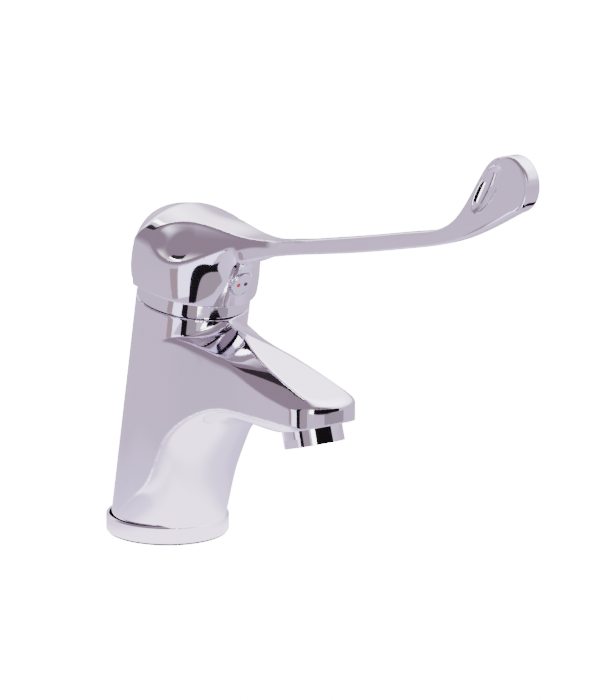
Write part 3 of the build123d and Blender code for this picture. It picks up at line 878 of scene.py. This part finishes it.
def add_noise(material, scale, detail):
    """Noise that lies in the piece, in cycles per metre."""
    nodes = material.node_tree.nodes
    place = nodes.new("ShaderNodeTexCoord")
    noise = nodes.new("ShaderNodeTexNoise")
    noise.inputs["Scale"].default_value = scale
    noise.inputs["Detail"].default_value = detail
    material.node_tree.links.new(place.outputs["Object"], noise.inputs["Vector"])
    return noise


def vary_roughness(material, shader, noise, low, high):
    """Gloss that changes between two values over the piece."""
    spread = material.node_tree.nodes.new("ShaderNodeMapRange")
    spread.inputs["To Min"].default_value = low
    spread.inputs["To Max"].default_value = high
    material.node_tree.links.new(noise.outputs["Fac"], spread.inputs["Value"])
    material.node_tree.links.new(spread.outputs["Result"], shader.inputs["Roughness"])


def add_bump(material, shader, noise, strength, distance):
    """Fine unevenness that tilts the light but not the mesh."""
    bump = material.node_tree.nodes.new("ShaderNodeBump")
    bump.inputs["Strength"].default_value = strength
    bump.inputs["Distance"].default_value = distance
    material.node_tree.links.new(noise.outputs["Fac"], bump.inputs["Height"])
    material.node_tree.links.new(bump.outputs["Normal"], shader.inputs["Normal"])


print("materials before the finishes:", len(bpy.data.materials))

# %% [markdown]
# ### Chrome and rubber
#
# Polished chrome is a near-perfect mirror with a cool tint. Its roughness
# varies a little where the buffing wheel left a haze. It gets no bump,
# because a ripple in the plating would break up the long, calm reflections.
# The foot's gasket and the seals are black rubber: matt, with a fine grain.

# %% Plate the chrome and mould the rubber
def chrome():
    """Mirror with a cool tint and a trace of haze."""
    material, shader = new_material("polished_chrome", (0.87, 0.845, 0.91), 1.0, 0.04)
    haze = add_noise(material, scale=60, detail=3)
    vary_roughness(material, shader, haze, low=0.03, high=0.07)
    return material


def rubber():
    """Matt black with a fine grain."""
    material, shader = new_material("black_rubber", (0.02, 0.02, 0.02), 0.0, 0.7)
    grain = add_noise(material, scale=2500, detail=2)
    add_bump(material, shader, grain, strength=0.3, distance=0.0002)
    return material


finishes = {"chrome": chrome(), "black_rubber": rubber()}
print("finishes so far:", ", ".join(finishes))

# %% [markdown]
# ### Moulded and turned pieces
#
# The cartridge's shell, its limit ring, the discs and the dots are moulded or
# fired, with a faint grain. The nut, the pin, the screw and the button are
# metal turned on a lathe. Each family differs only in colour and gloss, so
# one function serves each of them.

# %% Mix the moulded and the turned finishes
def moulded(name, colour, roughness):
    """Plastic, ceramic or enamel with a faint grain."""
    material, shader = new_material(name, colour, 0.0, roughness)
    grain = add_noise(material, scale=1800, detail=3)
    add_bump(material, shader, grain, strength=0.2, distance=0.0001)
    sheen = add_noise(material, scale=300, detail=2)
    vary_roughness(material, shader, sheen, roughness - 0.06, roughness + 0.06)
    return material


def turned_metal(name, colour, roughness):
    """Metal as the lathe leaves it."""
    material, shader = new_material(name, colour, 1.0, roughness)
    tool_marks = add_noise(material, scale=1200, detail=4)
    add_bump(material, shader, tool_marks, strength=0.15, distance=0.0001)
    sheen = add_noise(material, scale=200, detail=2)
    vary_roughness(material, shader, sheen, roughness - 0.05, roughness + 0.08)
    return material


MOULDED = {
    "white_plastic": ((0.82, 0.82, 0.8), 0.4),
    "grey_plastic": ((0.3, 0.31, 0.33), 0.42),
    "red_plastic": ((0.55, 0.05, 0.04), 0.4),
    "ceramic": ((0.9, 0.89, 0.86), 0.2),
    "red_enamel": ((0.8, 0.01, 0.01), 0.15),
    "blue_enamel": ((0.01, 0.015, 0.08), 0.15),
    "aerator_plastic": ((0.8, 0.8, 0.78), 0.45),
}
TURNED = {
    "brass": ((0.78, 0.6, 0.3), 0.25),
    "steel": ((0.6, 0.6, 0.6), 0.3),
    "steel_mesh": ((0.5, 0.5, 0.5), 0.35),
    "button": ((0.8, 0.79, 0.82), 0.12),
}
finishes.update({name: moulded(name, *recipe) for name, recipe in MOULDED.items()})
finishes.update({name: turned_metal(name, *recipe) for name, recipe in TURNED.items()})
print("moulded:", len(MOULDED), "turned:", len(TURNED))

# %% [markdown]
# Each CAD piece says in the frame's record which finish it wears. Both skins
# stand for castings, so they are chrome.

# %% Give every piece its finish
for part in frame["record"]["subparts"]:
    piece = frame["nodes"][part["node"]]
    piece.data.materials.clear()
    piece.data.materials.append(finishes[part["material_slot"]])
for piece in (body, handle):
    piece.data.materials.append(finishes["chrome"])

# %% [markdown]
# ## The table
#
# The camera sees a plain white table, while the chrome shows it as it is in a
# light tent: bright close to the tap, then a cool shadow, then a mauve grey.
# Lamps round a real plane could give such rings, but they would also light
# everything else. So the table glows in rings for reflections only, and a
# light path node keeps it white to the camera.

# %% Stage flat pieces that are not part of the tap
def staged(name, points, faces, place=(0, 0, 0), turn=(0, 0, 0)):
    """Piece of the studio, such as the table or a card."""
    piece = add_object(name, points, faces)
    piece.location = place
    piece.rotation_euler = turn
    return piece


def plane(name, centre, size, turn=(0, 0, 0)):
    """Flat rectangle of a given size in metres."""
    half_w, half_h = size[0] / 2, size[1] / 2
    corners = [(-half_w, -half_h, 0), (half_w, -half_h, 0), (half_w, half_h, 0), (-half_w, half_h, 0)]
    return staged(name, corners, [(0, 1, 2, 3)], centre, turn)


def scaled(colour, peak):
    """Colour brought below 1; its brightness is given back as a strength."""
    return (*[value / peak for value in colour], 1)


def ramp_node(nodes, stops):
    """Colour ramp with smooth steps, and the brightness to give back."""
    colours = nodes.new("ShaderNodeValToRGB")
    colours.color_ramp.interpolation = "EASE"
    for place, _ in stops[2:]:
        colours.color_ramp.elements.new(place)
    peak = max(max(colour) for _, colour in stops)
    for element, (place, colour) in zip(colours.color_ramp.elements, stops):
        element.position = place
        element.color = scaled(colour, peak)
    return colours, peak


print("a colour of 2, 1, 1 is kept as", scaled((2, 1, 1), 2), "with a strength of 2")

# %% [markdown]
# The rings lie round the foot, brightest close to it and mauve grey further
# out. A texture could be painted for them. A colour ramp over the distance
# from one point is enough, because the rings are round.

# %% Ring the table with light
GLOW_CENTRE = (0.02, -0.008, 0)
TABLE_RINGS = [
    (0.03, (3.2, 2.75, 3.6)),
    (0.05, (1.7, 1.42, 2.15)),
    (0.08, (1.25, 1.05, 1.7)),
    (0.12, (1.15, 0.95, 1.45)),
    (0.20, (0.95, 0.74, 1.07)),
    (1.0, (0.88, 0.7, 1.0)),
]


def table_rings(nodes, links):
    """Glow by distance from the tap's foot, in metres."""
    place = nodes.new("ShaderNodeTexCoord")
    length = nodes.new("ShaderNodeVectorMath")
    length.operation = "DISTANCE"
    length.inputs[1].default_value = GLOW_CENTRE
    links.new(place.outputs["Object"], length.inputs[0])
    rings, peak = ramp_node(nodes, TABLE_RINGS)
    links.new(length.outputs["Value"], rings.inputs["Fac"])
    glow = nodes.new("ShaderNodeEmission")
    glow.inputs["Strength"].default_value = peak
    links.new(rings.outputs["Color"], glow.inputs["Color"])
    return glow


print("table rings:", len(TABLE_RINGS))

# %% [markdown]
# The table itself is one large sheet with a plain matt shader, and enough
# glow to look white to the camera. Everything else sees the rings instead.

# %% Stand the tap on a pale table
TABLE_SIZE = (12, 12)
TABLE_COLOUR = (0.93, 0.93, 0.94)
TABLE_GLARE = 16.0


def table_material():
    """White to the camera, ringed with light to everything else."""
    material, shader = new_material("pale_table", TABLE_COLOUR, 0.0, 0.7)
    nodes, links = material.node_tree.nodes, material.node_tree.links
    shader.inputs["Emission Color"].default_value = (1, 1, 1, 1)
    shader.inputs["Emission Strength"].default_value = TABLE_GLARE
    glow = table_rings(nodes, links)
    seen = nodes.new("ShaderNodeLightPath")
    mix = nodes.new("ShaderNodeMixShader")
    links.new(seen.outputs["Is Camera Ray"], mix.inputs["Fac"])
    links.new(glow.outputs["Emission"], mix.inputs[1])
    links.new(shader.outputs["BSDF"], mix.inputs[2])
    links.new(mix.outputs["Shader"], nodes["Material Output"].inputs["Surface"])
    return material


floor = plane("floor", (0, 0, 0), TABLE_SIZE)
floor.data.materials.append(table_material())
print("table:", TABLE_SIZE[0], "m square")

# %% [markdown]
# ## The light tent
#
# A tap like this is photographed in a tent of white cloth: a bright roof and
# greyer walls, with two sides where less light comes in. Area lamps would
# make small, hard highlights. The world itself is the tent here, bright by
# how steeply a direction climbs, and each dim side fades in smoothly round
# one direction, so its edge never shows as a line.

# %% Light the tent's roof and walls
TENT_HEIGHTS = [
    (0.0, (0.95, 0.74, 1.07)),
    (0.45, (0.95, 0.74, 1.07)),
    (0.60, (1.15, 0.95, 1.3)),
    (0.74, (3.2, 2.9, 3.6)),
    (0.92, (5.2, 4.8, 5.6)),
    (1.0, (5.4, 5.0, 5.8)),
]


def roof_light(nodes, links, place):
    """Colour of the tent by how steeply a direction climbs."""
    split = nodes.new("ShaderNodeSeparateXYZ")
    links.new(place.outputs["Generated"], split.inputs["Vector"])
    height = nodes.new("ShaderNodeMapRange")
    height.inputs["From Min"].default_value = -1
    links.new(split.outputs["Z"], height.inputs["Value"])
    colours, peak = ramp_node(nodes, TENT_HEIGHTS)
    links.new(height.outputs["Result"], colours.inputs["Fac"])
    return colours.outputs["Color"], peak


print("the roof's colour:", TENT_HEIGHTS[-1][1])

# %% [markdown]
# Each dim side is given by the direction of its middle, as azimuth and
# elevation, and by two angles away from it: up to the first it is fully dim,
# and beyond the second it is gone. All four are in degrees.

# %% Dim two sides and hang the tent
DIM_SIDES = [(-20, 52, 32, 66), (88, 46, 20, 46)]
DIM_COLOUR = (0.34, 0.25, 0.33)


def towards(azimuth, elevation):
    """Direction of length 1; azimuth 0 is the tap's left side, 90 its front."""
    a, e = math.radians(azimuth), math.radians(elevation)
    return Vector((math.sin(a) * math.cos(e), -math.cos(a) * math.cos(e), math.sin(e)))


def dim_side(nodes, links, place, azimuth, elevation, inner, outer):
    """How far a direction looks at one dim side of the tent, from 0 to 1."""
    turn = nodes.new("ShaderNodeVectorMath")
    turn.operation = "DOT_PRODUCT"
    turn.inputs[1].default_value = towards(azimuth, elevation)
    links.new(place.outputs["Generated"], turn.inputs[0])
    share = nodes.new("ShaderNodeMapRange")
    share.interpolation_type = "SMOOTHSTEP"
    share.inputs["From Min"].default_value = math.cos(math.radians(outer))
    share.inputs["From Max"].default_value = math.cos(math.radians(inner))
    links.new(turn.outputs["Value"], share.inputs["Value"])
    return share.outputs["Result"]


def tent_light():
    """Bright roof that fades to mauve grey walls, with two dim sides."""
    world = bpy.data.worlds.new("tent")
    bpy.context.scene.world = world
    world.use_nodes = True
    nodes, links = world.node_tree.nodes, world.node_tree.links
    place = nodes.new("ShaderNodeTexCoord")
    colour, peak = roof_light(nodes, links, place)
    for side in DIM_SIDES:
        mix = nodes.new("ShaderNodeMix")
        mix.data_type = "RGBA"
        mix.inputs["B"].default_value = scaled(DIM_COLOUR, peak)
        links.new(dim_side(nodes, links, place, *side), mix.inputs["Factor"])
        links.new(colour, mix.inputs["A"])
        colour = mix.outputs["Result"]
    links.new(colour, nodes["Background"].inputs["Color"])
    nodes["Background"].inputs["Strength"].default_value = peak


tent_light()
print("dim sides:", len(DIM_SIDES))

# %% [markdown]
# ## The cards
#
# The crisp dark and bright bands in chrome come from cards that stand round
# the piece while it is photographed. Painting the bands on would freeze them
# in place. As real cards, unseen by the camera and without a shadow, they
# slide over the curves when the lever moves. Most stand upright as bent
# strips, and a black flag and a white rod hang behind the tap.

# %% Make a card that only reflections see
def glowing(name, colour):
    """Material that gives off one even colour."""
    material = bpy.data.materials.new(name)
    material.use_nodes = True
    nodes = material.node_tree.nodes
    glow = nodes.new("ShaderNodeEmission")
    peak = max(colour)
    glow.inputs["Color"].default_value = scaled(colour, peak)
    glow.inputs["Strength"].default_value = peak
    material.node_tree.links.new(glow.outputs["Emission"], nodes["Material Output"].inputs["Surface"])
    return material


def only_reflected(piece, name, colour):
    """Glowing card that the camera doesn't see and that casts no shadow."""
    piece.visible_camera = False
    piece.visible_shadow = False
    piece.data.materials.append(glowing(name, colour))
    return piece


print("materials so far:", len(bpy.data.materials))

# %% [markdown]
# A flat card faces the tap from wherever it hangs. A bent one follows part of
# a circle round the tap in a dozen flat strips, as a sheet of card would when
# it is stood on its edge.

# %% Cut flat and bent cards
CARD_MIDDLE = (0.03, 0, 0.08)
WALL_MIDDLE_X = 0.02
WALL_STEPS = 12


def card(name, azimuth, elevation, distance, size, colour):
    """Flat card that faces the tap from a distance."""
    away = towards(azimuth, elevation)
    centre = Vector(CARD_MIDDLE) + away * distance
    piece = plane(name, centre, size, away.to_track_quat("Z", "Y").to_euler())
    return only_reflected(piece, name, colour)


def wall(name, start, end, low, high, distance, colour):
    """Curved card that stands round the tap between two azimuths."""
    points = []
    for step in range(WALL_STEPS + 1):
        a = math.radians(start + (end - start) * step / WALL_STEPS)
        x, y = WALL_MIDDLE_X + distance * math.sin(a), -distance * math.cos(a)
        points += [(x, y, low), (x, y, high)]
    faces = [(2 * i, 2 * i + 2, 2 * i + 3, 2 * i + 1) for i in range(WALL_STEPS)]
    return only_reflected(staged(name, points, faces), name, colour)


print("each bent card has", WALL_STEPS, "flat strips")

# %% [markdown]
# From the left side round to the front there are brown, lilac, black and
# taupe near the tap, then white and black a little further out, with a low
# grey card below the last one. A call gives the azimuths it spans in degrees,
# its lower and upper edge and its distance in metres, and its colour.

# %% Stand the cards round the tap
NEAR = 0.16
FURTHER = 0.21
HUNG = 0.9
BLACK = (0.01, 0.008, 0.01)
WHITE = (8, 8, 8)

wall("brown_card", 2, 13, 0.025, 0.1, NEAR, (0.5, 0.36, 0.42))
wall("lilac_card", 13, 30, 0.025, 0.11, NEAR, (2.6, 2.3, 3.4))
wall("black_strip", 30, 41, 0, 0.17, NEAR, BLACK)
wall("taupe_card", 41, 60, 0, 0.17, NEAR, (0.45, 0.36, 0.44))
wall("white_card", 60, 70, 0.04, 0.14, FURTHER, WHITE)
wall("black_card", 70, 114, 0.04, 0.14, FURTHER, BLACK)
wall("grey_card", 92, 122, 0, 0.04, FURTHER, (0.42, 0.34, 0.44))
card("black_flag", -81, 62, HUNG, (0.165, 0.45), (0.04, 0.03, 0.04))
card("white_rod", -95.5, 62, HUNG, (0.045, 0.45), WHITE)
print("cards stand", NEAR, "and", FURTHER, "m away, the flag and the rod hang", HUNG, "m away")

# %% [markdown]
# ## The camera
#
# The photograph looks from the tap's left front and from a little above, with
# a long lens. The foot stands left of and below the picture's middle, so the
# camera is aimed past it. A lens shift could do that too. Turning the camera
# until the origin lands on its own pixel keeps the lens plain.

# %% Look from the photograph's side
PHOTO_SIZE = (613, 700)
SENSOR_MM = 24
VIEW_AZIMUTH = 53.0
VIEW_ELEVATION = 16.23
VIEW_DISTANCE = 2.0
FOCUS_PX = 4914
ORIGIN_PX = (167.7, 528.9)


def look(azimuth, elevation, distance, focus_px, target_px):
    """Camera on a ball round the origin, turned so that the origin lands on a pixel."""
    width, height = PHOTO_SIZE
    back = towards(azimuth, elevation)
    right = Vector((math.cos(math.radians(azimuth)), math.sin(math.radians(azimuth)), 0))
    up = back.cross(right)
    off_x = (target_px[0] - width / 2) / focus_px
    off_y = (height / 2 - target_px[1]) / focus_px
    ahead = (-back - right * off_x - up * off_y).normalized()
    turned_right = ahead.cross(up).normalized()
    turned_up = turned_right.cross(ahead)
    camera = bpy.data.objects.new("camera", bpy.data.cameras.new("camera"))
    camera.matrix_world = Matrix((
        (turned_right.x, turned_up.x, -ahead.x, back.x * distance),
        (turned_right.y, turned_up.y, -ahead.y, back.y * distance),
        (turned_right.z, turned_up.z, -ahead.z, back.z * distance),
        (0, 0, 0, 1),
    ))
    camera.data.sensor_fit = "VERTICAL"
    camera.data.sensor_height = SENSOR_MM
    camera.data.lens = focus_px * SENSOR_MM / height
    bpy.context.scene.collection.objects.link(camera)
    bpy.context.scene.camera = camera
    return camera


camera = look(VIEW_AZIMUTH, VIEW_ELEVATION, VIEW_DISTANCE, FOCUS_PX, ORIGIN_PX)
print("lens:", round(camera.data.lens, 1), "mm")
